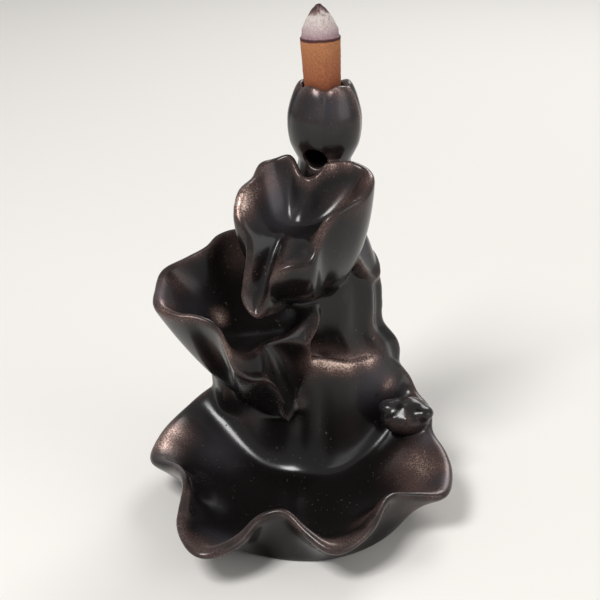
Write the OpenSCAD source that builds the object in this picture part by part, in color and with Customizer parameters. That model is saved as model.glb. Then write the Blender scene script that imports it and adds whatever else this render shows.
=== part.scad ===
// Backflow incense burner: a cast ceramic cascade of lotus leaves under a lotus bud, with its cone
// All sizes are in millimetres. +Z is up, the front looks along -Y, and the foot stands on z = 0.

/* [Incense cone] */
// Height of the cone
cone_h = 30.5; // [27:0.5:34]
// Diameter where the cone is widest, at the char line
cone_d = 12.4; // [11.6:0.1:13]
// Diameter of the cone's foot
cone_foot_d = 10.8; // [10:0.1:11.4]
// Height of the char line above the cone's foot
cone_char_z = 20.5; // [18:0.5:23]
// Step from the unburnt side in to the ash
ash_step = 0.5; // [0.3:0.1:0.8]
// Diameter of the blind hole up from the cone's foot
cone_hole_d = 3.6; // [3:0.1:4.2]
// Depth of that hole
cone_hole_depth = 15; // [12:0.5:17]

/* [Lotus bud] */
// Height of the petal tips above the table
bud_top_z = 132; // [129:0.5:136]
// Height of the bud from its neck to the petal tips
bud_h = 25; // [23:0.5:27]
// Diameter of the bud where it is widest
bud_d = 23.2; // [22:0.2:25]
// Number of petals
petals = 5; // [4:1:7]
// How far a petal's edge stands over the next petal
petal_step = 0.8; // [0.4:0.1:1.2]
// Depth of the notches between the petal tips
petal_notch = 1.6; // [1:0.1:2.4]
// Depth of the seat below the petal tips
seat_depth = 7; // [6:0.5:8]
// Clearance round the cone at the bud's mouth
cone_clearance = 0.35; // [0.25:0.05:0.5]
// Lean of the seat and the cone to the left, in degrees
seat_lean = 3; // [0:0.5:4]

/* [Smoke channel] */
// Diameter of the channel down from the seat
channel_d = 4; // [3.4:0.1:4.8]
// Diameter of the outlet under the bud
outlet_d = 7; // [6:0.2:7.6]
// Height of the outlet's start above the bud's neck
outlet_rise = 5; // [4:0.5:6]
// Slope of the outlet down to the front, in degrees
outlet_slope = 14; // [8:1:20]
// Turn of the outlet to the left, in degrees
outlet_turn = 22; // [10:1:30]
// Length of the outlet from the channel to the front
outlet_l = 20; // [18:1:24]

/* [Basin leaf] */
// Width of the basin leaf from lobe to lobe
basin_w = 98; // [92:1:104]
// Depth of the basin leaf from its front lobe to its back edge
basin_d = 89; // [84:1:94]
// Thickness of the basin at the middle of its floor
basin_floor = 6; // [5:0.5:8]
// Share of the basin's width that lies level at the middle of its floor
basin_level = 0.3; // [0:0.05:0.5]
// Thickness of the basin's rounded rim
basin_lip = 5; // [4:0.2:6]
// Width of the foot
foot_w = 70; // [66:1:76]
// Depth of the foot
foot_d = 80; // [76:1:84]
// Depth of the hollow under the foot
foot_recess = 1.2; // [0.8:0.1:2]
// Diameter of that hollow
foot_recess_d = 52; // [46:1:56]

/* [Middle leaf] */
// Width of the middle leaf
middle_w = 52; // [48:1:56]
// Depth of the middle leaf
middle_d = 40; // [37:0.5:43]
// Drop from the top leaf's floor to the middle leaf's floor
middle_drop = 36; // [34:0.5:38]
// Thickness of its rim
middle_lip = 3; // [2.6:0.1:3.6]

/* [Top leaf] */
// Width of the top leaf
top_w = 42; // [39:1:45]
// Depth of the top leaf
top_d = 32.5; // [30:0.5:35]
// Drop from the petal tips to the top leaf's floor
top_drop = 41; // [39:0.5:43]
// Thickness of its rim
top_lip = 3; // [2.6:0.1:3.6]

/* [Trunk] */
// Number of pleats round the trunk
pleats = 12; // [9:1:16]
// Depth of the deepest pleats
pleat_depth = 0.9; // [0.4:0.1:1.2]
// Thickness of the edge of the leaf that hangs over the trunk
hood_lip = 2.4; // [2:0.1:3]

/* [Seed pod] */
// Width of the seed pod beside the basin
pod_w = 17; // [15:0.5:19]
// Height of its domed face
pod_dome = 5; // [4:0.5:6]
// Seeds in its outer ring
pod_seeds = 7; // [6:1:9]
// Diameter of a seed
seed_d = 2.4; // [2:0.1:2.8]

/* [Hidden] */

// Levels that follow from each other, down from the petal tips
neck_z = bud_top_z - bud_h;
top_z = bud_top_z - top_drop;
middle_z = top_z - middle_drop;

// A leaf is drawn by its edge: points [x, y, z, hollow, roll] from the leaf's middle, counter-clockwise from
// its right side. Hollow is 1 where the leaf slopes straight to its middle, and more where it is a deeper
// bowl. Roll is how thick the edge is there, as a share of the leaf's rim.
basin_middle = [0, -14];
BASIN_EDGE = [
    [46.5, -5, 8, 3, 1], [45.5, 5, 10, 3, 1], [41.5, 14.5, 13, 2.5, 1], [41.5, 20.5, 17, 3, 1],
    [38, 27.5, 20, 3.4, 1], [35, 31.5, 26, 2.6, 1], [27.5, 27.5, 32.5, 2.5, 1], [16, 20.5, 33.5, 3.2, 1],
    [4, 18.5, 36, 3.4, 1], [-7.5, 21.5, 32, 3, 1], [-19, 28.5, 24, 2.5, 1], [-29.5, 37, 17, 2.5, 1],
    [-38, 32.5, 11, 2.5, 1], [-44.5, 19.5, 9, 3, 1], [-46.5, 6, 7, 3.2, 1.1], [-39, -6, 11, 4, 0.9],
    [-34.5, -20.5, 14, 5, 0.8], [-35, -36, 8.5, 4, 0.9], [-28.5, -47, 6, 3.5, 1.1], [-19, -44, 8, 3.5, 1],
    [-12.5, -37, 12, 5, 0.8], [-4.5, -36, 14, 5, 0.7], [2, -41, 10, 4.5, 0.8], [10.5, -45, 6, 3.5, 1.1],
    [20, -38, 9, 4.5, 1], [26.5, -25.5, 12.5, 5, 0.7], [35, -20.5, 10, 4, 0.8], [43.5, -17.5, 8, 3, 1],
];
middle_middle = [-13, -10];
MIDDLE_EDGE = [
    [19, 12.5, 4, 3.6, 1], [16, 17, 10.5, 4, 1], [11.5, 21, 19, 4, 1], [5, 23.5, 25, 3, 1],
    [-6, 22.5, 29, 3, 1], [-13, 20, 28, 3, 1], [-16.5, 16.5, 25.5, 3, 1], [-23.5, 14, 22.5, 2.4, 1],
    [-29.5, 10.5, 20, 2.2, 1.2], [-30.5, 4.5, 17, 2, 1.4], [-30.5, -2, 14, 2.2, 1.3], [-24.5, -6.5, 13, 2.6, 1.1],
    [-17.5, -8.5, 13, 3, 1], [-11.5, -10.5, 10.5, 3.6, 1], [-9, -11.5, 4.5, 3.6, 1], [-6.5, -12.5, -2, 3, 1],
    [-2, -12, -5.5, 2.4, 1], [2.5, -9.5, -7, 2, 1], [6.5, -4, -14.5, 1.6, 1], [8.5, 2, -24, 1.4, 0.9],
    [9, 5, -30, 1.3, 0.9], [12.5, 12, -27.5, 1.5, 0.9], [16, 13.5, -22, 1.8, 1], [17.5, 13, -16, 2, 1],
    [17, 11, -8, 2.4, 1], [16.5, 10, -2.5, 3, 1],
];
top_middle = [-3, -4];
TOP_EDGE = [
    [24, 3, 14, 3, 1.1], [23, 8.5, 15.5, 3, 1.1], [18.5, 11, 16.5, 3, 1.3], [13.5, 10.5, 16.5, 3, 1.2],
    [9, 9.5, 16, 2.6, 1], [6, 8.5, 13, 2.4, 1], [3, 10.5, 13, 2.4, 1], [0, 14, 18, 3, 1],
    [-5, 14, 16.5, 2.2, 1.2], [-8.5, 11.5, 16, 2.4, 1.2], [-10.5, 7.5, 13, 2.8, 1.2], [-14, 1, 11, 2.2, 1.4],
    [-15, -3.5, 6.5, 2, 1.5], [-13.5, -6, 3.5, 2.2, 1.2], [-12, -7.5, 0, 2.4, 0.9], [-12.5, -9.5, -6, 2.6, 0.9],
    [-13.5, -11.5, -13, 2, 0.9], [-13.5, -13, -18.5, 1.6, 0.9], [-10.5, -13.5, -23, 1.4, 0.8],
    [-7, -13, -17, 1.7, 0.9], [-5.5, -14, -10, 2.2, 1], [-1, -15, -6.5, 2.6, 1.1], [6, -14, -5, 3.5, 1],
    [8, -11.5, 1, 4, 1], [10.5, -10.5, 6.5, 4, 0.9], [16.5, -7.5, 9.5, 3, 0.9], [21.5, -3, 11, 3, 1],
];
hood_middle = [15, 17, neck_z - 19];
HOOD_EDGE = [
    [12, 1, -18.5, 2.4, 1], [9.5, 9, -15, 3, 1], [2, 12, -15, 3, 1], [-6, 11, -12, 3, 1], [-8, 0, -8, 3, 1],
    [-4, -9, -6, 3, 1], [1, -12.5, -8, 2, 1], [4, -11.5, -11, 1.8, 1], [7, -9, -16, 1.8, 1],
    [10, -5, -20, 2, 1],
];
// Points drawn on each leaf's edge for each point above, and rings of points across it
EDGE_STEPS = 3;
BOWL_RINGS = 6;
LIP_RINGS = 3;
BELLY_RINGS = 5;
// Share of an upper leaf's width that lies level at its floor
upper_level = 0.15;
// Where the undersides of the upper leaves run together in the trunk, and how round those undersides are
middle_stalk = [-18, 12, 24];
middle_belly = 0.15;
top_stalk = [5, 12, top_z - 27];
top_belly = 0.9;
hood_stalk = [10, 17, neck_z - 50];
hood_belly = 0;
// Middle of the foot, and how the basin's wall flares above it
foot_middle = [1, -6];
basin_flare = -0.4;

// Sections of the trunk from top to bottom: [height as a share of the neck's, x, y, half width, half depth]
TRUNK = [
    [1.03, 7.7, 17, 8, 8], [0.97, 7.5, 17, 8.5, 8.5], [0.9, 6, 17, 10.5, 10], [0.8, 4.5, 18, 14, 11.5],
    [0.7, 4, 18, 18.5, 12.5], [0.62, 3.8, 18.2, 22, 13.2], [0.55, 3.5, 18.5, 23, 13.5], [0.48, 3, 19, 24, 13.5],
    [0.41, 3, 20.5, 29, 13.5], [0.35, 1.5, 21, 31.5, 14], [0.22, 1, 21, 30, 14], [0.1, 1, 22.5, 29, 12],
    [0, 1, 22, 28, 10.5],
];
TRUNK_SIDES = 68;
// Turn of the pleats that puts a ridge at the front, right of the middle leaf
pleat_turn = 48;

// The bud and its seat
bud_at = [7.7, 17];
seat_at = [bud_at.x - 0.5, bud_at.y, bud_top_z - seat_depth];
bore_d = cone_foot_d + (cone_d - cone_foot_d) * seat_depth / cone_char_z + 2 * cone_clearance;
bore_room = 10;
BUD_SIDES = 50;
// Outline of the bud: [share of its height, share of its half width]
BUD_PROFILE = [
    [0, 0.68], [0.14, 0.84], [0.25, 0.94], [0.39, 0.99], [0.5, 1], [0.62, 0.985], [0.78, 0.9],
    [0.92, 0.79], [1, 0.68],
];

// Smooth curves through a few rows of numbers
function turned(i, n) = (i % n + n) % n;
function eased(a, b, c, d, f) =
    b + f * (c - a) / 2 + f * f * (a - 2.5 * b + 2 * c - d / 2) + f * f * f * (1.5 * (b - c) + (d - a) / 2);
function on_loop(rows, t) = let (n = len(rows), i = floor(t))
    eased(rows[turned(i - 1, n)], rows[turned(i, n)], rows[turned(i + 1, n)], rows[turned(i + 2, n)], t - i);
function loop(rows, steps) = [for (k = [0 : len(rows) * steps - 1]) on_loop(rows, k / steps)];

// A leaf's edge, sized to its width and depth and put at its middle
function span(rows, i) = max([for (r = rows) r[i]]) - min([for (r = rows) r[i]]);
function leaf_edge(rows, w, d, middle) = let (curve = loop(rows, EDGE_STEPS), sx = w / span(curve, 0),
    sy = d / span(curve, 1))
    [for (p = curve) [middle.x + p.x * sx, middle.y + p.y * sy, middle.z + p.z, p[3], p[4]]];
// The way out from the leaf, square to its edge
function outward(edge, k) = let (n = len(edge), d = edge[turned(k + 2, n)] - edge[turned(k - 2, n)])
    [d.y, -d.x, 0] / norm([d.x, d.y]);
function xyz(p) = [p.x, p.y, p.z];

// How far up to its rim a bowl has risen at a share u of the way out, past the level part of its floor
function rise(u, hollow, level) = pow(max(0, (u - level) / (1 - level)), max(0.5, hollow) * (1 - level));

// Rings of points from the leaf's middle out to its rim, over its rounded lip, and back in underneath
function bowl_ring(edge, lip, middle, level, u) = [for (k = [0 : len(edge) - 1])
    let (rim = xyz(edge[k]) - outward(edge, k) * lip / 2 * edge[k][4])
    [middle.x + (rim.x - middle.x) * u, middle.y + (rim.y - middle.y) * u,
        middle.z + (rim.z - middle.z) * rise(u, edge[k][3], level)]];
function lip_ring(edge, lip, a) = [for (k = [0 : len(edge) - 1])
    xyz(edge[k]) + lip / 2 * edge[k][4] * (-cos(a) * outward(edge, k) + [0, 0, sin(a)])];
// Between a straight slope, 0, and a quarter circle, 1, across and down
function rounded(v, round, curve) = v + (curve - v) * round;
function belly_ring(edge, lip, ends, belly, v) = [for (k = [0 : len(edge) - 1])
    let (rim = xyz(edge[k]) + outward(edge, k) * lip / 2 * edge[k][4], s = 1 - rounded(v, belly, 1 - cos(90 * v)),
        g = rounded(v, belly, sin(90 * v)))
    [ends[k].x + (rim.x - ends[k].x) * s, ends[k].y + (rim.y - ends[k].y) * s, rim.z + (ends[k].z - rim.z) * g]];
function leaf_rings(edge, lip, middle, level, ends, belly, last) = concat(
    [for (i = [1 : BOWL_RINGS]) bowl_ring(edge, lip, middle, level, sin(90 * i / BOWL_RINGS))],
    [for (i = [1 : LIP_RINGS]) lip_ring(edge, lip, 180 * i / LIP_RINGS)],
    [for (i = [1 : last]) belly_ring(edge, lip, ends, belly, i / BELLY_RINGS)]);

// A closed skin over rings of points, from a first point on top to a last point underneath
module skin(first, rings, last) {
    n = len(rings[0]);
    m = len(rings);
    under = 1 + (m - 1) * n;
    polyhedron(
        points = concat([first], [for (ring = rings) each ring], [last]),
        faces = concat(
            [for (j = [0 : n - 1]) [0, 1 + (j + 1) % n, 1 + j]],
            [for (i = [0 : m - 2], j = [0 : n - 1]) let (a = 1 + i * n + j, b = 1 + i * n + (j + 1) % n)
                each [[a, b, b + n], [a, b + n, a + n]]],
            [for (j = [0 : n - 1]) [under + j, under + (j + 1) % n, 1 + m * n]]));
}

// An upper leaf, whose underside runs down to a stalk inside the trunk
module leaf(rows, w, d, middle, lip, level, stalk, belly) {
    edge = leaf_edge(rows, w - lip, d - lip, middle);
    skin(middle, leaf_rings(edge, lip, middle, level, [for (p = edge) stalk], belly, BELLY_RINGS - 1), stalk);
}

// The basin leaf, whose wall runs down to an oval foot
function foot_point(p) = let (a = atan2((p.y - foot_middle.y) / foot_d, (p.x - foot_middle.x) / foot_w))
    [foot_middle.x + foot_w / 2 * cos(a), foot_middle.y + foot_d / 2 * sin(a), 0];
basin_edge = leaf_edge(BASIN_EDGE, basin_w - basin_lip, basin_d - basin_lip,
    [basin_middle.x, basin_middle.y, basin_floor]);
module basin_leaf() {
    middle = [basin_middle.x, basin_middle.y, basin_floor];
    feet = [for (p = basin_edge) foot_point(p)];
    skin(middle, leaf_rings(basin_edge, basin_lip, middle, basin_level, feet, basin_flare, BELLY_RINGS),
        [foot_middle.x, foot_middle.y, 0]);
}

// The trunk, a column with soft pleats, deep in places and shallow in others, that fade out at both ends
function pleat(a, h) = pleat_depth * cos(pleats * a + pleat_turn) * (0.6 + 0.4 * cos(2 * a + 60)) *
    min(1, h * 4) * min(1, (1.05 - h) * 4);
function trunk_ring(s) = [for (k = [0 : TRUNK_SIDES - 1]) let (a = 360 * k / TRUNK_SIDES, r = pleat(a, s[0]))
    [s[1] + (s[3] + r) * cos(a), s[2] + (s[4] + r) * sin(a), s[0] * neck_z]];
module trunk() {
    top = TRUNK[0];
    low = TRUNK[len(TRUNK) - 1];
    skin([top[1], top[2], top[0] * neck_z], [for (s = TRUNK) trunk_ring(s)], [low[1], low[2], 0]);
}
module hood_leaf() {
    leaf(HOOD_EDGE, span(HOOD_EDGE, 0), span(HOOD_EDGE, 1), hood_middle, hood_lip, 0, hood_stalk, hood_belly);
}

// The bud: petals that lap over each other round a cup
function petal_rise(a) = abs(sin(petals * a / 2));
function petal_lap(a) = let (f = petals * a / 360) f - floor(f);
function bud_ring(row) = [for (k = [0 : BUD_SIDES - 1]) let (a = 360 * k / BUD_SIDES,
    r = row[1] * bud_d / 2 + petal_step * (petal_lap(a + 90) - 0.5) * pow(row[0], 1.5),
    z = neck_z + (bud_h - petal_notch * (1 - petal_rise(a + 90)) * pow(row[0], 3)) * row[0])
    [bud_at.x + r * cos(a), bud_at.y + r * sin(a), z]];
module bud() {
    n = len(BUD_PROFILE);
    skin([bud_at.x, bud_at.y, bud_top_z - petal_notch], [for (i = [1 : n]) bud_ring(BUD_PROFILE[n - i])],
        [bud_at.x, bud_at.y, neck_z]);
}

// The seed pod that lies by the rim: a domed face with seeds in it. Its tilt turns it to the front and left,
// its turn moves the ring of seeds round, and its face is flat by a share of its width
pod_at = [34.5, 3, 24];
pod_tilt = [30, -10, 0];
pod_turn = 14;
pod_flat = 0.8;
// Rings down its sides: [level below its face, half width as a share of its width]
POD_SKIRT = [[-3, 0.42], [-9, 0.2]];
POD_RINGS = 4;
POD_SIDES = 24;
function pod_ring(z, r) = [for (k = [0 : POD_SIDES - 1]) let (a = 360 * k / POD_SIDES)
    [r * cos(a), r * pod_flat * sin(a), z]];
module seed_pod() translate(pod_at) rotate(pod_tilt) {
    skin([0, 0, pod_dome], concat(
        [for (i = [1 : POD_RINGS]) let (a = 90 * i / POD_RINGS) pod_ring(pod_dome * cos(a), pod_w / 2 * sin(a))],
        [for (s = POD_SKIRT) pod_ring(s[0], pod_w * s[1])]), [0, 0, -11]);
    for (k = [0 : pod_seeds]) let (a = 360 * k / pod_seeds + pod_turn, r = k == pod_seeds ? 0 : pod_w * 0.3)
        translate([r * cos(a), r * pod_flat * sin(a), pod_dome * sqrt(1 - pow(2 * r / pod_w, 2))])
            rotate(a) sphere(d = seed_d, $fn = 10);
}

module casting() {
    basin_leaf();
    leaf(MIDDLE_EDGE, middle_w, middle_d, [middle_middle.x, middle_middle.y, middle_z], middle_lip, upper_level,
        middle_stalk, middle_belly);
    leaf(TOP_EDGE, top_w, top_d, [top_middle.x, top_middle.y, top_z], top_lip, upper_level, top_stalk,
        top_belly);
    trunk();
    hood_leaf();
    bud();
    seed_pod();
}

// The seat for the cone, the smoke channel under it, and its outlet to the front
module smoke_way() translate(seat_at) rotate([0, -seat_lean, 0]) {
    cylinder(h = seat_depth + bore_room, d = bore_d, $fn = 72);
    translate([0, 0, neck_z + outlet_rise - seat_at.z]) cylinder(h = seat_at.z - neck_z - outlet_rise + 1,
        d = channel_d, $fn = 48);
    translate([0, 0, neck_z + outlet_rise - seat_at.z]) rotate([90 + outlet_slope, 0, -outlet_turn])
        cylinder(h = outlet_l, d = outlet_d, $fn = 48);
}

// Everything is drawn round the trunk, then moved so that the middle of the whole outline stands at the origin
front_y = min([for (p = basin_edge) p.y - basin_lip / 2 * p[4]]);
back_y = max([for (s = TRUNK) s[2] + s[4]]);
module centred() translate([0, -(front_y + back_y) / 2, 0]) children();

// The petal tips stand at exactly their height, and the seat, the channel and the foot's hollow are cut last
module burner_body() color("#2b2422") centred() difference() {
    resize([0, 0, bud_top_z]) union() casting();
    smoke_way();
    translate([foot_middle.x, foot_middle.y, -1]) cylinder(h = 1 + foot_recess, d = foot_recess_d, $fn = 96);
}

// The cone, pressed in one piece: unburnt side, char line and ash, with its blind hole
ASH_STEPS = 8;
module incense_cone() color("#b0764c") centred() translate(seat_at) rotate([0, -seat_lean, 0]) difference() {
    ash_r = cone_d / 2 - ash_step;
    rotate_extrude($fn = 72) polygon(concat(
        [[0, 0], [cone_foot_d / 2, 0], [cone_d / 2, cone_char_z], [ash_r, cone_char_z + ash_step]],
        [for (i = [1 : ASH_STEPS]) let (t = i / ASH_STEPS)
            [ash_r * pow(1 - pow(t, 1.8), 0.8), cone_char_z + ash_step + (cone_h - cone_char_z - ash_step) * t]]));
    translate([0, 0, -1]) cylinder(h = 1 + cone_hole_depth, d = cone_hole_d, $fn = 36);
}

burner_body();
incense_cone();
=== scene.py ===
# %% [markdown]
# # A backflow incense burner
# The burner is a small ornament of glazed ceramic. Lotus leaves pour into each other under a lotus
# bud, and a pressed incense cone stands in the bud. The real one is slip cast in one piece and dipped
# in a dark glaze, so everything on it is soft: rims are rolled, creases are filled and the surface
# shines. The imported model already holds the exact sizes. Here it is loaded as a fixed frame, and two
# detailed pieces, the casting and the cone, are made in its place.

import bpy
import numpy as np
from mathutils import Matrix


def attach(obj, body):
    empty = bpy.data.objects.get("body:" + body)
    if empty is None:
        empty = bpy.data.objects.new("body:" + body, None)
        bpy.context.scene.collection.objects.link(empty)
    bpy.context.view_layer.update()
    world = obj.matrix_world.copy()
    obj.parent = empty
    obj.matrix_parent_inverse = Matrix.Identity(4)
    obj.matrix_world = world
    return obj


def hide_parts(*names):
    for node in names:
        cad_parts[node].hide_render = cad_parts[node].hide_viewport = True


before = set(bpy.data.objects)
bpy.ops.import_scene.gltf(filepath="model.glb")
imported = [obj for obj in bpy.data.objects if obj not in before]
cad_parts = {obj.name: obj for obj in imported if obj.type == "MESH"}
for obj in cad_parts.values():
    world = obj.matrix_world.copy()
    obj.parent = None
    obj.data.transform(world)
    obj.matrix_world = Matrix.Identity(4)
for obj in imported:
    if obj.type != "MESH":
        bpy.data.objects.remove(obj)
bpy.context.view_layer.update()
print("packed nodes:", sorted(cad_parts))

# %% [markdown]
# ## The camera
# The burner is seen from a little above the bud, looking down by 23 degrees through a long lens, which
# keeps the leaves' sizes true against each other. Blender gives a lens in millimetres on a 36 mm
# sensor, so the focal length in pixels is turned into that unit. All sizes in this file are
# millimetres, and they are turned to metres where something is made.

# %% Camera
MM = 0.001
FOCAL_PIXELS = 1370
PICTURE_PIXELS = 600
SENSOR_MM = 36
CAMERA_PITCH = 23
CAMERA_AT = np.array([0, -380.6, 234]) * MM
CLIP_START = 10 * MM


def add_camera():
    """A level camera that looks along +Y and down by the pitch."""
    lens = bpy.data.cameras.new("camera")
    lens.sensor_width = SENSOR_MM
    lens.lens = FOCAL_PIXELS / PICTURE_PIXELS * SENSOR_MM
    lens.clip_start = CLIP_START
    camera = bpy.data.objects.new("camera", lens)
    camera.location = CAMERA_AT
    camera.rotation_euler = (np.radians(90 - CAMERA_PITCH), 0, 0)
    bpy.context.scene.collection.objects.link(camera)
    bpy.context.scene.camera = camera
    print("lens mm:", round(lens.lens, 1))


add_camera()

# %% [markdown]
# ## Helpers for nodes and colours
# Colours are written as the hex values that a picture editor shows. The shader works in linear light,
# so one function turns them. Node trees get long when each node takes several lines, so one more
# function adds a node together with its settings, its values and its links.

# %% Colour and node helpers


def linear(hex_colour):
    """An sRGB hex colour as linear RGBA: below 0.04045 a twelfth or so, above it a power of 2.4."""
    values = np.array([int(hex_colour[i:i + 2], 16) for i in (1, 3, 5)]) / 255
    light = np.where(values <= 0.04045, values / 12.92, ((values + 0.055) / 1.055) ** 2.4)
    return (*light.tolist(), 1.0)


def add_node(tree, kind, values=None, links=None, **settings):
    """Adds a node. Settings are its own, values and links go to its sockets by name or number, and a
    link starts at a socket, or at the first output of a node."""
    made = tree.nodes.new(kind)
    for name, value in settings.items():
        setattr(made, name, value)
    for socket, value in (values or {}).items():
        made.inputs[socket].default_value = value
    for socket, source in (links or {}).items():
        tree.links.new(getattr(source, "outputs", [source])[0], made.inputs[socket])
    return made


def new_material(name):
    """An empty node material and its tree."""
    material = bpy.data.materials.new(name)
    material.use_nodes = True
    material.node_tree.nodes.clear()
    return material, material.node_tree


print("mid grey in linear light:", round(linear("#808080")[0], 3))

# %% [markdown]
# ## The floor
# A dark glaze is seen mostly by what it mirrors. A backdrop behind the object would not reach the
# undersides of the leaves, so a large pale floor is laid, which lightens them from below.

# %% Floor
FLOOR_SIZE = 8.0
FLOOR_COLOUR = "#ece9e4"


def add_floor():
    """One square of plain matt floor at the level that the foot stands on."""
    half = FLOOR_SIZE / 2
    corners = [(-half, -half, 0), (half, -half, 0), (half, half, 0), (-half, half, 0)]
    mesh = bpy.data.meshes.new("floor")
    mesh.from_pydata(corners, [], [(0, 1, 2, 3)])
    floor = bpy.data.objects.new("floor", mesh)
    bpy.context.scene.collection.objects.link(floor)
    material, tree = new_material("matt_floor")
    shader = add_node(tree, "ShaderNodeBsdfDiffuse", {"Color": linear(FLOOR_COLOUR)})
    add_node(tree, "ShaderNodeOutputMaterial", links={"Surface": shader})
    mesh.materials.append(material)
    print("floor, metres each way:", FLOOR_SIZE)


add_floor()

# %% [markdown]
# ## The light
# A few broad soft lamps draw the long highlights along the rims, which small hard lamps would break
# into dots. The world is pale where it is looked at, and dimmer as a lamp, so that the lamps still
# shape the object.

# %% Lamps and world
LAMPS = {
    "key": {"at": (-0.45, -0.55, 0.95), "size": 0.35, "watts": 9.5},
    "fill": {"at": (0.9, -0.5, 0.5), "size": 0.8, "watts": 3},
    "back": {"at": (0.35, 0.8, 0.8), "size": 0.5, "watts": 5},
}
LAMP_AIM = (0, 0, 0.07)
WORLD_COLOUR = "#bcbcbc"
WORLD_AS_LAMP = 0.6


def add_lamp(name, at, size, watts):
    """A square lamp that faces the middle of the object."""
    lamp = bpy.data.lights.new(name, "AREA")
    lamp.size = size
    lamp.energy = watts
    holder = bpy.data.objects.new(name, lamp)
    holder.location = at
    aim = holder.location.copy()
    aim.x, aim.y, aim.z = (LAMP_AIM[i] - at[i] for i in range(3))
    holder.rotation_euler = aim.to_track_quat("-Z", "Y").to_euler()
    bpy.context.scene.collection.objects.link(holder)


def add_world():
    """Pale for camera, mirror and glass rays, and dimmer for the light that it gives."""
    world = bpy.data.worlds.new("world")
    world.use_nodes = True
    tree = world.node_tree
    tree.nodes.clear()
    rays = add_node(tree, "ShaderNodeLightPath").outputs
    seen = add_node(tree, "ShaderNodeMath", links={0: rays["Is Camera Ray"], 1: rays["Is Glossy Ray"]},
                    operation="MAXIMUM")
    seen = add_node(tree, "ShaderNodeMath", links={0: seen, 1: rays["Is Transmission Ray"]},
                    operation="MAXIMUM")
    strength = add_node(tree, "ShaderNodeMapRange", {"To Min": WORLD_AS_LAMP, "To Max": 1.0}, {"Value": seen})
    shader = add_node(tree, "ShaderNodeBackground", {"Color": linear(WORLD_COLOUR)}, {"Strength": strength})
    add_node(tree, "ShaderNodeOutputWorld", links={"Surface": shader})
    bpy.context.scene.world = world


for lamp_name, lamp_settings in LAMPS.items():
    add_lamp(lamp_name, **lamp_settings)
add_world()
bpy.context.scene.view_settings.view_transform = "Standard"
print("lamps:", list(LAMPS))

# %% [markdown]
# ## How a leaf is drawn
# A lotus leaf that pours is a bowl with a waved rim. By hand one would model a disc and pull its edge,
# point by point, and the rim would never be even. So each leaf is drawn by its edge alone: a few rows,
# each with a place in plan, its height above the leaf's middle, how hollow the leaf is on the way in
# from there, and how thick the rim rolls.

# %% Edges of the leaves
BASIN_EDGE = np.array([
    [46.5, -5, 8, 3, 1], [45.5, 5, 10, 3, 1], [41.5, 14.5, 13, 2.5, 1], [41.5, 20.5, 17, 3, 1],
    [38, 27.5, 20, 3.4, 1], [35, 31.5, 26, 2.6, 1], [27.5, 27.5, 32.5, 2.5, 1], [16, 20.5, 33.5, 3.2, 1],
    [4, 18.5, 36, 3.4, 1], [-7.5, 21.5, 32, 3, 1], [-19, 28.5, 24, 2.5, 1], [-29.5, 37, 17, 2.5, 1],
    [-38, 32.5, 11, 2.5, 1], [-44.5, 19.5, 9, 3, 1], [-46.5, 6, 7, 3.2, 1.1], [-39, -6, 11, 4, 0.9],
    [-34.5, -20.5, 14, 5, 0.8], [-35, -36, 8.5, 4, 0.9], [-28.5, -47, 6, 3.5, 1.1], [-19, -44, 8, 3.5, 1],
    [-12.5, -37, 12, 5, 0.8], [-4.5, -36, 14, 5, 0.7], [2, -41, 10, 4.5, 0.8], [10.5, -45, 6, 3.5, 1.1],
    [20, -38, 9, 4.5, 1], [26.5, -25.5, 12.5, 5, 0.7], [35, -20.5, 10, 4, 0.8], [43.5, -17.5, 8, 3, 1],
])
MIDDLE_EDGE = np.array([
    [19, 12.5, 4, 3.6, 1], [16, 17, 10.5, 4, 1], [11.5, 21, 19, 4, 1], [5, 23.5, 25, 3, 1],
    [-6, 22.5, 29, 3, 1], [-13, 20, 28, 3, 1], [-16.5, 16.5, 25.5, 3, 1], [-23.5, 14, 22.5, 2.4, 1],
    [-29.5, 10.5, 20, 2.2, 1.2], [-30.5, 4.5, 17, 2, 1.4], [-30.5, -2, 14, 2.2, 1.3],
    [-24.5, -6.5, 13, 2.6, 1.1], [-17.5, -8.5, 13, 3, 1], [-11.5, -10.5, 10.5, 3.6, 1],
    [-9, -11.5, 4.5, 3.6, 1], [-6.5, -12.5, -2, 3, 1], [-2, -12, -5.5, 2.4, 1], [2.5, -9.5, -7, 2, 1],
    [6.5, -4, -14.5, 1.6, 1], [8.5, 2, -24, 1.4, 0.9], [9, 5, -30, 1.3, 0.9], [12.5, 12, -27.5, 1.5, 0.9],
    [16, 13.5, -22, 1.8, 1], [17.5, 13, -16, 2, 1], [17, 11, -8, 2.4, 1], [16.5, 10, -2.5, 3, 1],
])
TOP_EDGE = np.array([
    [24, 3, 14, 3, 1.1], [23, 8.5, 15.5, 3, 1.1], [18.5, 11, 16.5, 3, 1.3], [13.5, 10.5, 16.5, 3, 1.2],
    [9, 9.5, 16, 2.6, 1], [6, 8.5, 13, 2.4, 1], [3, 10.5, 13, 2.4, 1], [0, 14, 18, 3, 1],
    [-5, 14, 16.5, 2.2, 1.2], [-8.5, 11.5, 16, 2.4, 1.2], [-10.5, 7.5, 13, 2.8, 1.2],
    [-14, 1, 11, 2.2, 1.4], [-15, -3.5, 6.5, 2, 1.5], [-13.5, -6, 3.5, 2.2, 1.2], [-12, -7.5, 0, 2.4, 0.9],
    [-12.5, -9.5, -6, 2.6, 0.9], [-13.5, -11.5, -13, 2, 0.9], [-13.5, -13, -18.5, 1.6, 0.9],
    [-10.5, -13.5, -23, 1.4, 0.8], [-7, -13, -17, 1.7, 0.9], [-5.5, -14, -10, 2.2, 1],
    [-1, -15, -6.5, 2.6, 1.1], [6, -14, -5, 3.5, 1], [8, -11.5, 1, 4, 1], [10.5, -10.5, 6.5, 4, 0.9],
    [16.5, -7.5, 9.5, 3, 0.9], [21.5, -3, 11, 3, 1],
])
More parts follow.
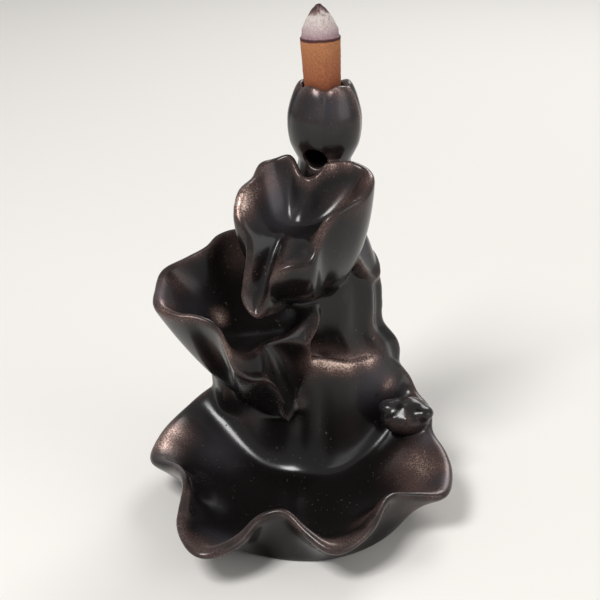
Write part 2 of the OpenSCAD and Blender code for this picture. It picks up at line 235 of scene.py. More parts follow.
HOOD_EDGE = np.array([
    [12, 1, -18.5, 2.4, 1], [9.5, 9, -15, 3, 1], [2, 12, -15, 3, 1], [-6, 11, -12, 3, 1], [-8, 0, -8, 3, 1],
    [-4, -9, -6, 3, 1], [1, -12.5, -8, 2, 1], [4, -11.5, -11, 1.8, 1], [7, -9, -16, 1.8, 1],
    [10, -5, -20, 2, 1],
])
print("rows on the edges:", [len(rows) for rows in (BASIN_EDGE, MIDDLE_EDGE, TOP_EDGE, HOOD_EDGE)])

# %% [markdown]
# ## Smooth curves through the rows
# A curve object could carry each edge, but a mesh needs its points as numbers. So a cubic is worked out
# between each two rows, which passes through both and leaves each in the direction of its neighbours.
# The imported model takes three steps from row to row, and this one four times as many.

# %% Smooth curves
CAD_STEPS = 3
FINE = 4
EDGE_STEPS = CAD_STEPS * FINE


def eased(a, b, c, d, f):
    """Between b and c at the share f: b + f(c-a)/2 + f²(a-5b/2+2c-d/2) + f³(3(b-c)/2+(d-a)/2)."""
    return b + f * (c - a) / 2 + f**2 * (a - 2.5 * b + 2 * c - d / 2) + f**3 * (1.5 * (b - c) + (d - a) / 2)


def closed_curve(rows, steps):
    """A smooth closed curve through the rows, with so many steps from each row to the next."""
    a, b, c, d = (np.roll(rows, shift, axis=0)[:, None, :] for shift in (1, 0, -1, -2))
    f = (np.arange(steps) / steps)[None, :, None]
    return eased(a, b, c, d, f).reshape(-1, rows.shape[1])


def open_curve(rows, steps):
    """The same through rows that have two ends, each end row counting as its own neighbour."""
    padded = np.vstack([rows[:1], rows, rows[-1:]])
    a, b, c, d = (padded[i:len(rows) - 1 + i, None, :] for i in range(4))
    f = (np.arange(steps) / steps)[None, :, None]
    return np.vstack([eased(a, b, c, d, f).reshape(-1, rows.shape[1]), rows[-1:]])


def leaf_edge(rows, width, depth, middle):
    """The edge curve, stretched to the leaf's width and depth and put at its middle."""
    curve = closed_curve(rows, EDGE_STEPS)
    span = np.ptp(curve[::FINE, :2], axis=0)
    place = curve.copy()
    place[:, :2] *= np.array([width, depth]) / span
    place[:, :3] += middle
    return place


def outward(edge):
    """Square to the edge and level: the step along the edge, turned by a quarter."""
    reach = 2 * FINE
    along = np.roll(edge, -reach, axis=0) - np.roll(edge, reach, axis=0)
    way = np.stack([along[:, 1], -along[:, 0], np.zeros(len(edge))], axis=1)
    return way / np.linalg.norm(way, axis=1, keepdims=True)


print("points round the basin:", len(closed_curve(BASIN_EDGE, EDGE_STEPS)))

# %% [markdown]
# ## From an edge to a leaf
# The leaf is a surface of two parameters: one runs round the edge, the other runs from the leaf's
# middle out to the rim, over the rolled lip, and back in underneath. A sheet with the Solidify
# modifier would be as thick in the middle as at the rim, which a cast leaf is not. On the real one
# the rim's waves fade towards the middle, so each ring is eased into its neighbours on the way in.

# %% Leaf surfaces
BOWL_RINGS = 26
LIP_RINGS = 14
BELLY_RINGS = 20
BLUR_STEPS = 14
LIP_START = np.radians(60)
UP = np.array([0.0, 0.0, 1.0])


def lip_reach(edge, lip):
    """Half of the rim's thickness, place by place along the edge."""
    return (lip / 2 * edge[:, 4])[:, None]


def blurred(values):
    """Round a closed edge, each value eased into its neighbours: every wave fades by a bell curve."""
    waves = np.fft.rfftfreq(len(values))
    bell = np.exp(-2 * (np.pi * waves * BLUR_STEPS) ** 2)
    return np.fft.irfft(np.fft.rfft(values) * bell, len(values))


def on_lip(edge, lip, a):
    """On the round rim by the angle a: 0 is its inner side, a quarter turn its top, half a turn outside."""
    return edge[:, :3] + lip_reach(edge, lip) * (np.sin(a) * UP - np.cos(a) * outward(edge))


def bowl(edge, lip, middle, level, wave_fade):
    """Out from the middle: plan by the share u, and height by ((u - level) / (1 - level)) to the power
    of the leaf's hollow times (1 - level). The rim's waves fade inwards as u to the power wave_fade."""
    rim = np.column_stack([on_lip(edge, lip, LIP_START), edge[:, 3]])
    u = np.sin(np.pi / 2 * np.arange(1, BOWL_RINGS + 1) / BOWL_RINGS)[:, None, None]
    fade = u ** wave_fade
    row = fade * rim + (1 - fade) * np.column_stack([blurred(values) for values in rim.T])
    surface = middle + (row[..., :3] - middle) * u
    climb = np.maximum(0, (u[..., 0] - level) / (1 - level)) ** (row[..., 3] * (1 - level))
    surface[..., 2] = middle[2] + (row[..., 2] - middle[2]) * climb
    return surface


def rolled_lip(edge, lip):
    """Over the edge from where the bowl meets it to its outer side, along a circle."""
    a = LIP_START + (np.pi - LIP_START) * np.arange(1, LIP_RINGS + 1) / LIP_RINGS
    return on_lip(edge, lip, a[:, None, None])


def belly(edge, lip, ends, round_share, shares):
    """Under the leaf, from the rim to its ends: a straight slope at round_share 0, an arc at 1."""
    rim = edge[:, :3] + outward(edge) * lip_reach(edge, lip)
    v = shares[:, None, None]
    across = v + (1 - np.cos(np.pi / 2 * v) - v) * round_share
    down = v + (np.sin(np.pi / 2 * v) - v) * round_share
    surface = rim + (ends - rim) * across
    surface[..., 2] = (rim + (ends - rim) * down)[..., 2]
    return surface


print("rings on a leaf:", BOWL_RINGS + LIP_RINGS + BELLY_RINGS)

# %% [markdown]
# ## Closed skins
# The real burner is one solid thing, and booleans, which later join its parts, need closed solids too.
# Blender could fill the holes in a grid afterwards, but it would have to find them first. So one
# function joins ring to ring with squares and closes both ends with a fan, for every shape here.

# %% Closed skins


def skin(name, first, rings, last):
    """A closed mesh over a grid of points: a fan, quads from ring to ring, and a fan underneath."""
    count, around = rings.shape[:2]
    points = np.vstack([first, rings.reshape(-1, 3), last])
    here = np.arange(around)
    beside = np.roll(here, -1)
    start = 1 + around * np.arange(count - 1)[:, None]
    quads = np.stack([start + here, start + here + around, start + beside + around, start + beside], axis=-1)
    low = 1 + around * (count - 1)
    cap = np.stack([np.zeros(around, int), 1 + here, 1 + beside], axis=1)
    base = np.stack([low + beside, low + here, np.full(around, len(points) - 1)], axis=1)
    faces = [*cap.tolist(), *quads.reshape(-1, 4).tolist(), *base.tolist()]
    mesh = bpy.data.meshes.new(name)
    mesh.from_pydata((points * MM).tolist(), [], faces)
    made = bpy.data.objects.new(name, mesh)
    bpy.context.scene.collection.objects.link(made)
    return made


def leaf(name, edge, lip, inner, middle, ends, round_share, shares, last):
    """A whole leaf: bowl, lip and belly as one closed skin."""
    rings = np.concatenate([inner, rolled_lip(edge, lip), belly(edge, lip, ends, round_share, shares)])
    return skin(name, middle, rings, last)


print("rings of points on the basin's skin:", BOWL_RINGS + LIP_RINGS + BELLY_RINGS,
      "of", len(BASIN_EDGE) * EDGE_STEPS)

# %% [markdown]
# ## The leaves
# The basin's wall runs down to an oval foot, and the upper leaves run down to a point inside the
# trunk, as a leaf does to its stalk. All heights of the upper leaves hang from the top of the bud.
# The bowls are kept by name, because the glaze later finds its places on them.

# %% Basin, middle leaf, top leaf and hood
BUD_TOP, BUD_H = 132, 25
NECK = BUD_TOP - BUD_H
BASIN_W, BASIN_D, BASIN_FLOOR, BASIN_LIP, BASIN_LEVEL = 98, 89, 6, 5, 0.3
BASIN_MIDDLE = np.array([0, -14, BASIN_FLOOR])
FOOT_MIDDLE = np.array([1, -6, 0])
FOOT_W, FOOT_D = 70, 80
BASIN_FLARE = -0.4
UPPER_LEVEL = 0.15
TOP_W, TOP_D, TOP_LIP, TOP_DROP = 42, 32.5, 3, 41
TOP_MIDDLE = np.array([-3, -4, BUD_TOP - TOP_DROP])
TOP_STALK, TOP_BELLY = np.array([5, 12, TOP_MIDDLE[2] - 27]), 0.9
MIDDLE_W, MIDDLE_D, MIDDLE_LIP, MIDDLE_DROP = 52, 40, 3, 36
MIDDLE_MIDDLE = np.array([-13, -10, TOP_MIDDLE[2] - MIDDLE_DROP])
MIDDLE_STALK, MIDDLE_BELLY = np.array([-18, 12, 24]), 0.15
HOOD_LIP, HOOD_LEVEL = 2.4, 0
HOOD_MIDDLE = np.array([15, 17, NECK - 19])
HOOD_STALK, HOOD_BELLY = np.array([10, 17, NECK - 50]), 0
WAVE_FADES = {"basin": 2.2, "middle": 1.8, "top": 1, "hood": 1}

basin_edge = leaf_edge(BASIN_EDGE, BASIN_W - BASIN_LIP, BASIN_D - BASIN_LIP, BASIN_MIDDLE)
middle_edge = leaf_edge(MIDDLE_EDGE, MIDDLE_W - MIDDLE_LIP, MIDDLE_D - MIDDLE_LIP, MIDDLE_MIDDLE)
top_edge = leaf_edge(TOP_EDGE, TOP_W - TOP_LIP, TOP_D - TOP_LIP, TOP_MIDDLE)
hood_span = np.ptp(HOOD_EDGE[:, :2], axis=0) - HOOD_LIP
hood_edge = leaf_edge(HOOD_EDGE, *hood_span, HOOD_MIDDLE)
bowls = {
    "basin": bowl(basin_edge, BASIN_LIP, BASIN_MIDDLE, BASIN_LEVEL, WAVE_FADES["basin"]),
    "middle": bowl(middle_edge, MIDDLE_LIP, MIDDLE_MIDDLE, UPPER_LEVEL, WAVE_FADES["middle"]),
    "top": bowl(top_edge, TOP_LIP, TOP_MIDDLE, UPPER_LEVEL, WAVE_FADES["top"]),
    "hood": bowl(hood_edge, HOOD_LIP, HOOD_MIDDLE, HOOD_LEVEL, WAVE_FADES["hood"]),
}


def basin():
    """The basin leaf: below each place on its edge lies a point on the foot's oval, the same way out."""
    size = np.array([FOOT_W, FOOT_D])
    way = (basin_edge[:, :2] - FOOT_MIDDLE[:2]) / size
    a = np.arctan2(way[:, 1], way[:, 0])
    oval = FOOT_MIDDLE[:2] + size / 2 * np.stack([np.cos(a), np.sin(a)], axis=1)
    foot = np.column_stack([oval, np.zeros(len(basin_edge))])
    shares = np.arange(1, BELLY_RINGS + 1) / BELLY_RINGS
    return leaf("basin", basin_edge, BASIN_LIP, bowls["basin"], BASIN_MIDDLE, foot, BASIN_FLARE, shares,
                FOOT_MIDDLE)


def upper_leaf(name, edge, lip, inner, middle, stalk, round_share):
    """A leaf whose belly runs down to its stalk."""
    shares = np.arange(1, BELLY_RINGS) / BELLY_RINGS
    return leaf(name, edge, lip, inner, middle, stalk, round_share, shares, stalk)


casting_parts = [
    basin(),
    upper_leaf("middle_leaf", middle_edge, MIDDLE_LIP, bowls["middle"], MIDDLE_MIDDLE, MIDDLE_STALK,
               MIDDLE_BELLY),
    upper_leaf("top_leaf", top_edge, TOP_LIP, bowls["top"], TOP_MIDDLE, TOP_STALK, TOP_BELLY),
]
hood = upper_leaf("hood", hood_edge, HOOD_LIP, bowls["hood"], HOOD_MIDDLE, HOOD_STALK, HOOD_BELLY)
print("leaves:", {part.name: len(part.data.polygons) for part in [*casting_parts, hood]})

# %% [markdown]
# ## The trunk
# The leaves' stalks have grown together into a column, wide at the foot and slim under the bud, with
# soft pleats down its sides. It could be a cylinder with a displacement, but its ovals shift as well
# as grow, so a few rows of width, depth and place are joined by a smooth curve.

# %% Trunk
TRUNK = np.array([
    [1.03, 7.7, 17, 8, 8], [0.97, 7.5, 17, 8.5, 8.5], [0.9, 6, 17, 10.5, 10], [0.8, 4.5, 18, 14, 11.5],
    [0.7, 4, 18, 18.5, 12.5], [0.62, 3.8, 18.2, 22, 13.2], [0.55, 3.5, 18.5, 23, 13.5],
    [0.48, 3, 19, 24, 13.5], [0.41, 3, 20.5, 29, 13.5], [0.35, 1.5, 21, 31.5, 14], [0.22, 1, 21, 30, 14],
    [0.1, 1, 22.5, 29, 12], [0, 1, 22, 28, 10.5],
])
TRUNK_SIDES = 272
TRUNK_STEPS = 8
PLEATS, PLEAT_DEPTH, PLEAT_TURN = 12, 0.9, 48
PLEAT_FADE, PLEAT_END = 4, 1.05
DEEP_SHARE, DEEP_TURN = 0.4, 60


def trunk():
    """Ovals from top to bottom, each with a wave of pleats, deeper in places, that fades at both ends."""
    rows = open_curve(TRUNK, TRUNK_STEPS)
    share, x, y, half_w, half_d = (rows[:, i][:, None] for i in range(5))
    a = 2 * np.pi * np.arange(TRUNK_SIDES) / TRUNK_SIDES
    fade = np.minimum(1, share * PLEAT_FADE) * np.minimum(1, (PLEAT_END - share) * PLEAT_FADE)
    deeper = 1 - DEEP_SHARE + DEEP_SHARE * np.cos(2 * a + np.radians(DEEP_TURN))
    wave = PLEAT_DEPTH * np.cos(PLEATS * a + np.radians(PLEAT_TURN)) * deeper * fade
    rings = np.stack([x + (half_w + wave) * np.cos(a), y + (half_d + wave) * np.sin(a),
                      share * NECK + 0 * a], axis=-1)
    top, low = rows[0], rows[-1]
    return skin("trunk", [top[1], top[2], top[0] * NECK], rings, [low[1], low[2], 0])


casting_parts += [trunk(), hood]
print("trunk rings:", (len(TRUNK) - 1) * TRUNK_STEPS + 1)

# %% [markdown]
# ## The bud
# The bud is a cup whose petals lap over each other like roof tiles: going round, each petal stands a
# little further out until it drops to the next one. Separate petals would have to be sewn together,
# so the lap is a wave on one turned cup, whose outline is a smooth curve through a few widths.

# %% Bud
PETALS, PETAL_STEP, PETAL_NOTCH = 5, 0.8, 1.6
PETAL_FALL, PETAL_TURN = 0.07, 0.25
BUD_AT = np.array([7.7, 17])
BUD_D = 23.2
BUD_SIDES = 300
BUD_STEPS = 6
BUD_PROFILE = np.array([
    [0, 0.68], [0.14, 0.84], [0.25, 0.94], [0.39, 0.99], [0.5, 1], [0.62, 0.985], [0.78, 0.9],
    [0.92, 0.79], [1, 0.68],
])


def bud():
    """Rings by height: radius = outline + lap, where the lap climbs over a petal and then drops. The lap
    grows with the height share to the power 1.5, and the notches between petals to the power 4."""
    rows = open_curve(BUD_PROFILE, BUD_STEPS)[::-1]
    share, width = rows[:, 0][:, None], rows[:, 1][:, None]
    a = 2 * np.pi * np.arange(BUD_SIDES) / BUD_SIDES
    turn = PETALS * (a / (2 * np.pi) + PETAL_TURN)
    part = turn - np.floor(turn)
    lap = np.minimum(part, (1 - part) / PETAL_FALL)
    rise = np.abs(np.sin(np.pi * turn))
    r = width * BUD_D / 2 + PETAL_STEP * (lap - 0.5) * share**1.5
    z = NECK + (BUD_H - PETAL_NOTCH * (1 - rise) * share**3) * share
    rings = np.stack([BUD_AT[0] + r * np.cos(a), BUD_AT[1] + r * np.sin(a), z], axis=-1)
    return skin("bud", [*BUD_AT, BUD_TOP - PETAL_NOTCH], rings, [*BUD_AT, NECK])


casting_parts.append(bud())
print("bud rings:", (len(BUD_PROFILE) - 1) * BUD_STEPS + 1)

# %% [markdown]
# ## The seed pod
# Beside the basin lies a small seed pod: a domed oval with a ring of seeds, tilted to the front. On
# the casting it is blunt, as small things get under glaze. Its seeds are balls that are sunk into the
# dome, and two flat lumps make it uneven. Turns are matrices, because they also serve the bored holes.

# %% Turns and seed pod
POD_AT, POD_TILT = np.array([34.5, 3, 24]), (30, -10)
POD_W, POD_DOME, POD_FLAT = 17, 5, 0.8
POD_SKIRT, POD_END = np.array([[-3, 0.42], [-9, 0.2]]), -11
POD_SEEDS, POD_TURN = 7, 14
SEED_D, SEED_SINK, SEED_RING = 2.2, 0.4, 0.3
POD_LUMPS = np.array([[6, -1.5, 2.2, 7, 7, 5], [-4.5, 2.5, 2.5, 8, 7, 5]])
POD_SIDES, POD_RINGS = 96, 12
LUMP_SIDES, LUMP_RINGS = 32, 16
SEED_SIDES, SEED_RINGS = 24, 12


def turn_x(degrees):
    """A turn about X as a matrix."""
    c, s = np.cos(np.radians(degrees)), np.sin(np.radians(degrees))
    return np.array([[1, 0, 0], [0, c, -s], [0, s, c]])


def turn_y(degrees):
    """A turn about Y as a matrix."""
    c, s = np.cos(np.radians(degrees)), np.sin(np.radians(degrees))
    return np.array([[c, 0, s], [0, 1, 0], [-s, 0, c]])


def turn_z(degrees):
    """A turn about Z as a matrix."""
    c, s = np.cos(np.radians(degrees)), np.sin(np.radians(degrees))
    return np.array([[c, -s, 0], [s, c, 0], [0, 0, 1]])


def ball(name, middle, size, sides, rows):
    """A ball stretched to a size: circles of latitude from pole to pole."""
    tilt = np.pi * np.arange(1, rows) / rows
    a = 2 * np.pi * np.arange(sides) / sides
    rings = np.stack([np.sin(tilt)[:, None] * np.cos(a), np.sin(tilt)[:, None] * np.sin(a),
                      np.cos(tilt)[:, None] + 0 * a], axis=-1) * size / 2 + middle
    half = np.array([0, 0, size[2] / 2])
    return skin(name, middle + half, rings, middle - half)


def seed_pod():
    """A dome z = dome cos(t), r = w/2 sin(t) on a skirt that narrows, two lumps, and a ring of seeds."""
    tilt = np.pi / 2 * np.arange(1, POD_RINGS + 1) / POD_RINGS
    a = 2 * np.pi * np.arange(POD_SIDES) / POD_SIDES
    radii = np.concatenate([POD_W / 2 * np.sin(tilt), POD_W * POD_SKIRT[:, 1]])[:, None]
    heights = np.concatenate([POD_DOME * np.cos(tilt), POD_SKIRT[:, 0]])[:, None]
    rings = np.stack([radii * np.cos(a), radii * POD_FLAT * np.sin(a), heights + 0 * a], axis=-1)
    turn = turn_y(POD_TILT[1]) @ turn_x(POD_TILT[0])
    top, end = turn @ [0, 0, POD_DOME], turn @ [0, 0, POD_END]
    parts = [skin("pod", POD_AT + top, rings @ turn.T + POD_AT, POD_AT + end)]
    for k, lump in enumerate(POD_LUMPS):
        parts.append(ball(f"lump_{k}", POD_AT + turn @ lump[:3], lump[3:], LUMP_SIDES, LUMP_RINGS))
    for k in range(POD_SEEDS + 1):
        b = 2 * np.pi * k / POD_SEEDS + np.radians(POD_TURN)
        r = 0 if k == POD_SEEDS else POD_W * SEED_RING
        height = POD_DOME * np.sqrt(1 - (2 * r / POD_W) ** 2) - SEED_SINK
        at = turn @ [r * np.cos(b), r * POD_FLAT * np.sin(b), height]
        parts.append(ball(f"seed_{k}", POD_AT + at, np.full(3, SEED_D), SEED_SIDES, SEED_RINGS))
    return parts


casting_parts += seed_pod()
print("casting parts:", [part.name for part in casting_parts])

# %% [markdown]
# ## The bored holes
# The bud holds a seat for the cone, a narrow channel runs down from it, and a wider outlet slants from
# there to the front and left. The foot is hollow, so that only a ring of it stands on the table. Each
# hole is cut by a rod. The cone leans a little, so its seat and everything under it leans as well.

# %% Rods that cut the holes
SEAT_DEPTH, SEAT_LEAN, SEAT_SHIFT, BORE_ROOM = 7, 3, 0.5, 10
CONE_FOOT_D, CONE_D, CONE_CHAR, CONE_H = 10.8, 12.4, 20.5, 30.5
CONE_CLEARANCE = 0.35
BORE_D = CONE_FOOT_D + (CONE_D - CONE_FOOT_D) * SEAT_DEPTH / CONE_CHAR + 2 * CONE_CLEARANCE
SEAT_AT = np.array([BUD_AT[0] - SEAT_SHIFT, BUD_AT[1], BUD_TOP - SEAT_DEPTH])
CHANNEL_D, OUTLET_D, OUTLET_RISE, OUTLET_SLOPE, OUTLET_TURN, OUTLET_LENGTH = 4, 7, 5, 14, 22, 20
FOOT_HOLLOW, FOOT_HOLLOW_D = 1.2, 52
ROD_SIDES = 96
CUT_ROOM = 1


def rod(name, radius, low, high, turn, at):
    """A round rod from one height to another, turned and put in its place."""
    a = 2 * np.pi * np.arange(ROD_SIDES) / ROD_SIDES
    rings = np.stack([np.stack([radius * np.cos(a), radius * np.sin(a), z + 0 * a], axis=-1)
                      for z in (high, low)])
    return skin(name, turn @ [0, 0, high] + at, rings @ turn.T + at, turn @ [0, 0, low] + at)


def hole_rods():
    """The seat's bore, the channel under it, the outlet that slants out, and the foot's hollow."""
    lean = turn_y(-SEAT_LEAN)
    start = np.array([0, 0, NECK + OUTLET_RISE - SEAT_AT[2]])
    outlet_turn = lean @ turn_z(-OUTLET_TURN) @ turn_x(90 + OUTLET_SLOPE)
    return [
        rod("seat", BORE_D / 2, 0, SEAT_DEPTH + BORE_ROOM, lean, SEAT_AT),
        rod("channel", CHANNEL_D / 2, start[2], CUT_ROOM, lean, SEAT_AT),
        rod("outlet", OUTLET_D / 2, 0, OUTLET_LENGTH, outlet_turn, SEAT_AT + lean @ start),
        rod("foot_hollow", FOOT_HOLLOW_D / 2, -CUT_ROOM, FOOT_HOLLOW, np.eye(3), FOOT_MIDDLE),
    ]


print("seat bore mm:", round(BORE_D, 2))

# %% [markdown]
# ## One casting
# Cast ceramic has no joints, so the parts are united and the holes are cut, both with booleans. The
# manifold solver is the quick one, and it may be used here because every part is a closed skin.

# %% Unite and cut


def apply_modifiers(piece):
    """Replaces an object's mesh by what its modifiers make of it."""
    graph = bpy.context.evaluated_depsgraph_get()
    finished = bpy.data.meshes.new_from_object(piece.evaluated_get(graph))
    old = piece.data
    piece.modifiers.clear()
    piece.data = finished
    bpy.data.meshes.remove(old)


def combine(base, others, operation):
    """Unites closed meshes with the base, or cuts them out of it, and removes them."""
    for other in others:
        step = base.modifiers.new(other.name, "BOOLEAN")
        step.operation = operation
        step.solver = "MANIFOLD"
        step.object = other
    apply_modifiers(base)
    for other in others:
        bpy.data.objects.remove(other)


casting = casting_parts[0]
combine(casting, casting_parts[1:], "UNION")
combine(casting, hole_rods(), "DIFFERENCE")
print("united faces:", len(casting.data.polygons))

# %% [markdown]
# ## A glazed skin
# Glaze fills creases and rounds edges. Bevels would have to be set edge by edge, and where two
# waved leaves meet there is no clean edge to set them on. So each point of the skin moves towards the
# middle of its neighbours, again and again: far in the basin, less on the upper leaves, and only a
# little on the bud, the pod and the foot, whose detail is finer. The four rows of numbers that end in
# GIVE say where this fades: the place with none, the place with all of it, and the least share.

# %% Soften
SOFT_PASSES, SOFT_SHARE = 80, 0.6
BASIN_GIVE = (45, 30, 0.4)
BUD_GIVE = (NECK - 3, NECK - 9, 0.15)
POD_GIVE = (9, 12, 0.22)
FOOT_GIVE = (0, 2, 0.2)


def read_points(mesh):
    """A mesh's points as an array."""
    values = np.empty(len(mesh.vertices) * 3)
    mesh.vertices.foreach_get("co", values)
    return values.reshape(-1, 3)


def edge_pairs(mesh):
    """The two points of each edge."""
    pairs = np.empty(len(mesh.edges) * 2, int)
    mesh.edges.foreach_get("vertices", pairs)
    return pairs.reshape(-1, 2)


def neighbour_mean(values, pairs, count):
    """At each point, the mean of a value over the points that edges join to it."""
    first, second = pairs.T
    total = np.bincount(first, values[second], count) + np.bincount(second, values[first], count)
    return total / np.maximum(1, np.bincount(pairs.ravel(), minlength=count))


def share_between(values, none_at, full_at, least):
    """(value - none_at) / (full_at - none_at), kept between the least share and 1."""
    return np.clip((values - none_at) / (full_at - none_at), least, 1)


def give(points):
    """How far the glaze evens each place out, by its height and its distance from the pod."""
    height = points[:, 2]
    from_pod = np.linalg.norm(points - POD_AT, axis=1)
    return (share_between(height, *BASIN_GIVE) * share_between(height, *BUD_GIVE)
            * share_between(from_pod, *POD_GIVE) * share_between(height, *FOOT_GIVE))


def soften(mesh):
    """Each pass moves a point by share times give towards the mean of its neighbours."""
    points, pairs = read_points(mesh) / MM, edge_pairs(mesh)
    share = SOFT_SHARE * give(points)[:, None]
    for _ in range(SOFT_PASSES):
        mean = np.column_stack([neighbour_mean(points[:, i], pairs, len(points)) for i in range(3)])
        points += share * (mean - points)
    mesh.vertices.foreach_set("co", (points * MM).ravel())
    mesh.update()


give_samples = {"bud": [*BUD_AT, BUD_TOP], "pod": POD_AT, "top leaf": TOP_MIDDLE, "basin": [0, -14, 20]}
print("give:", {name: round(float(give(np.array([at]))[0]), 2) for name, at in give_samples.items()})

# %% [markdown]
# ## The finished casting
# Moving points only looks like poured glaze where they lie evenly, and a boolean leaves long slivers.
# A subdivision would keep those, so the skin is first remeshed into squares of 0.4 mm, a sixth of the
# thinnest rim. Then it is softened, and thinned where it is flat, which keeps its file small. It was
# drawn round the trunk, and now the middle of its outline moves to the origin.

# %% Remesh and finish
GLAZE_VOXEL = 0.4
GLAZE_PASSES, GLAZE_SHARE = 5, 0.5
CASTING_TRIANGLES = 185_000
OUTLINE_MIDDLE_Y = (np.min(basin_edge[:, 1] - BASIN_LIP / 2 * basin_edge[:, 4])
                    + np.max(TRUNK[:, 2] + TRUNK[:, 4])) / 2
CENTRING = np.array([0, -OUTLINE_MIDDLE_Y, 0])


def glaze_over(piece):
    """Remesh to small squares, smooth, soften, and thin to the number of triangles that is wanted."""
    remesh = piece.modifiers.new("remesh", "REMESH")
    remesh.mode = "VOXEL"
    remesh.voxel_size = GLAZE_VOXEL * MM
    smooth = piece.modifiers.new("smooth", "SMOOTH")
    smooth.factor = GLAZE_SHARE
    smooth.iterations = GLAZE_PASSES
    apply_modifiers(piece)
    soften(piece.data)
    quads = len(piece.data.polygons)
    thin = piece.modifiers.new("thin", "DECIMATE")
    thin.ratio = CASTING_TRIANGLES / (2 * quads)
    apply_modifiers(piece)
    print("glazed skin:", quads, "squares, thinned to", len(piece.data.polygons), "faces")


glaze_over(casting)
casting.name = "glazed_casting"
casting.data.name = "glazed_casting"
centred = read_points(casting.data) + CENTRING * MM
casting.data.vertices.foreach_set("co", centred.ravel())
casting.data.shade_smooth()

# %% [markdown]
# ## Where the glaze is thin, with painted highlights and reflections
# Glaze runs off raised edges in the kiln and gathers in hollows. On this burner a bronze sheen shows
# in a few thin places, and the rest stays nearly black. The brightest bronze places are painted
# highlights, where lamps glint on the crest, the rims and the bud's petal tips, and the mauve places
# are a painted cool reflection. It could be painted by hand, but a list of places is easier to change.
# A place on a leaf is named by its row on the edge and its share of the way out from the middle, and
# on the bud by an angle and a share of the height. Then follow the reach of the sheen in millimetres
# and its strength.

# %% Places of bronze, painted highlight and painted reflection
# Bronze of the thin glaze; the brightest of these places, on the crest, the rims and the bud's petal tips,
# are painted highlights where lamps glint.
BRONZE_AND_HIGHLIGHT_PLACES = {
    "basin": [[13.5, 1, 5, 1], [12.8, 0.97, 5, 0.8], [15, 0.93, 3, 0.4], [17.9, 0.97, 4, 0.8],
              [19, 0.97, 3, 0.4], [23, 0.97, 4, 0.5], [24.5, 0.9, 5, 0.4], [0, 0.9, 7, 0.65],
              [1, 0.85, 7, 0.55], [27, 0.85, 6, 0.55], [2.5, 0.95, 4, 0.3], [6.5, 1, 3.5, 0.8],
              [7, 1, 3.5, 1], [7.5, 1, 3.5, 1], [8, 1, 3.5, 0.8], [5.5, 0.91, 2.5, 1]],
    "middle": [[6.7, 0.6, 1.8, 1], [6.8, 0.56, 1.6, 0.8], [10, 0.97, 4, 0.4], [8, 0.9, 4, 0.3],
               [14, 0.85, 5, 0.3], [4, 0.9, 5, 0.2]],
    "top": [[11.3, 0.97, 4, 1], [12.4, 1, 3, 0.3], [9.4, 0.9, 4, 0.5], [10.4, 0.9, 3, 0.4],
            [0.5, 0.75, 4.5, 0.4], [26, 0.9, 4, 0.5], [0, 0.97, 3, 0.6], [3.2, 1, 2, 0.6],
            [2.2, 1, 2, 0.6], [20, 0.95, 3, 0.3]],
    "bud": [[-110, 0.98, 2, 0.7], [-85, 0.98, 2, 0.7], [-65, 0.97, 2, 0.7], [-30, 0.95, 2, 0.6],
            [-24, 0.82, 2, 0.6], [-20, 0.68, 2, 0.5], [-18, 0.55, 2, 0.4]],
}
# Painted cool reflection in the hollows, on the hood and on the bud; at the middle leaf's left tip, a painted
# highlight.
MAUVE_REFLECTION_PLACES = {
    "basin": [[18, 0.85, 6, 0.6], [6, 0.92, 7, 0.8], [12.5, 0.7, 8, 0.3], [1.5, 1, 4, 0.6],
              [27.6, 0.97, 4, 0.8]],
    "middle": [[9.4, 1, 3.5, 1], [8.5, 0.75, 6, 0.25]],
    "top": [[9.8, 0.6, 6, 0.5], [8.6, 0.8, 5, 0.3]],
    "hood": [[8.5, 0.6, 6, 0.45], [7, 0.55, 5, 0.35], [9.3, 0.7, 5, 0.35]],
    "bud": [[-70, 0.75, 6, 0.4], [-110, 0.7, 5, 0.15]],
}


def place_of(where, row, share):
    """Where a named place is: on the bud by angle and height, on a leaf by row and share of the way out."""
    if where == "bud":
        a = np.radians(row)
        r = BUD_D / 2 * np.interp(share, BUD_PROFILE[:, 0], BUD_PROFILE[:, 1])
        return np.array([BUD_AT[0] + r * np.cos(a), BUD_AT[1] + r * np.sin(a), NECK + share * BUD_H])
    rings = bowls[where]
    ring = round(np.arcsin(share) * 2 / np.pi * BOWL_RINGS) - 1
    return rings[ring, round(row * EDGE_STEPS) % rings.shape[1]]


def sheen(points, places):
    """Over all places the sum of strength times exp(-(distance / reach)²), at most 1."""
    total = np.zeros(len(points))
    for where, rows in places.items():
        for row, share, reach, strength in rows:
            gap = points - place_of(where, row, share)
            total += strength * np.exp(-(gap**2).sum(axis=1) / reach**2)
    return np.minimum(1, total)


def add_attribute(mesh, name, values):
    """Stores one number at each point."""
    layer = mesh.attributes.new(name, "FLOAT", "POINT")
    layer.data.foreach_set("value", values.astype(np.float32))


casting_points = read_points(casting.data) / MM - CENTRING
# The first attribute holds real bronze together with painted highlights, the second a painted cool
# reflection.
add_attribute(casting.data, "bronze_and_highlight", sheen(casting_points, BRONZE_AND_HIGHLIGHT_PLACES))
add_attribute(casting.data, "mauve_reflection", sheen(casting_points, MAUVE_REFLECTION_PLACES))
print("places of sheen:", sum(len(rows) for rows in [*BRONZE_AND_HIGHLIGHT_PLACES.values(), *MAUVE_REFLECTION_PLACES.values()]))

# %% [markdown]
# ## Rims and ridges
# A little bronze also shows on every rim and on every ridge. How near a point lies to a rim is
# measured to the edge curves. How much the skin bulges is measured by how the normals spread, which
# is steadier on a dense mesh than the Pointiness of the Geometry node, and is baked with the mesh.

# %% Rims and ridges
RIM_REACH = 4.0
RIM_STEP = 3
RIM_BLOCKS = 60
BUD_RIM_R, BUD_RIM_DROP, BUD_RIM_POINTS = 7, 1, 60
BEND_PASSES = 3
BEND_SCALE = 9.0


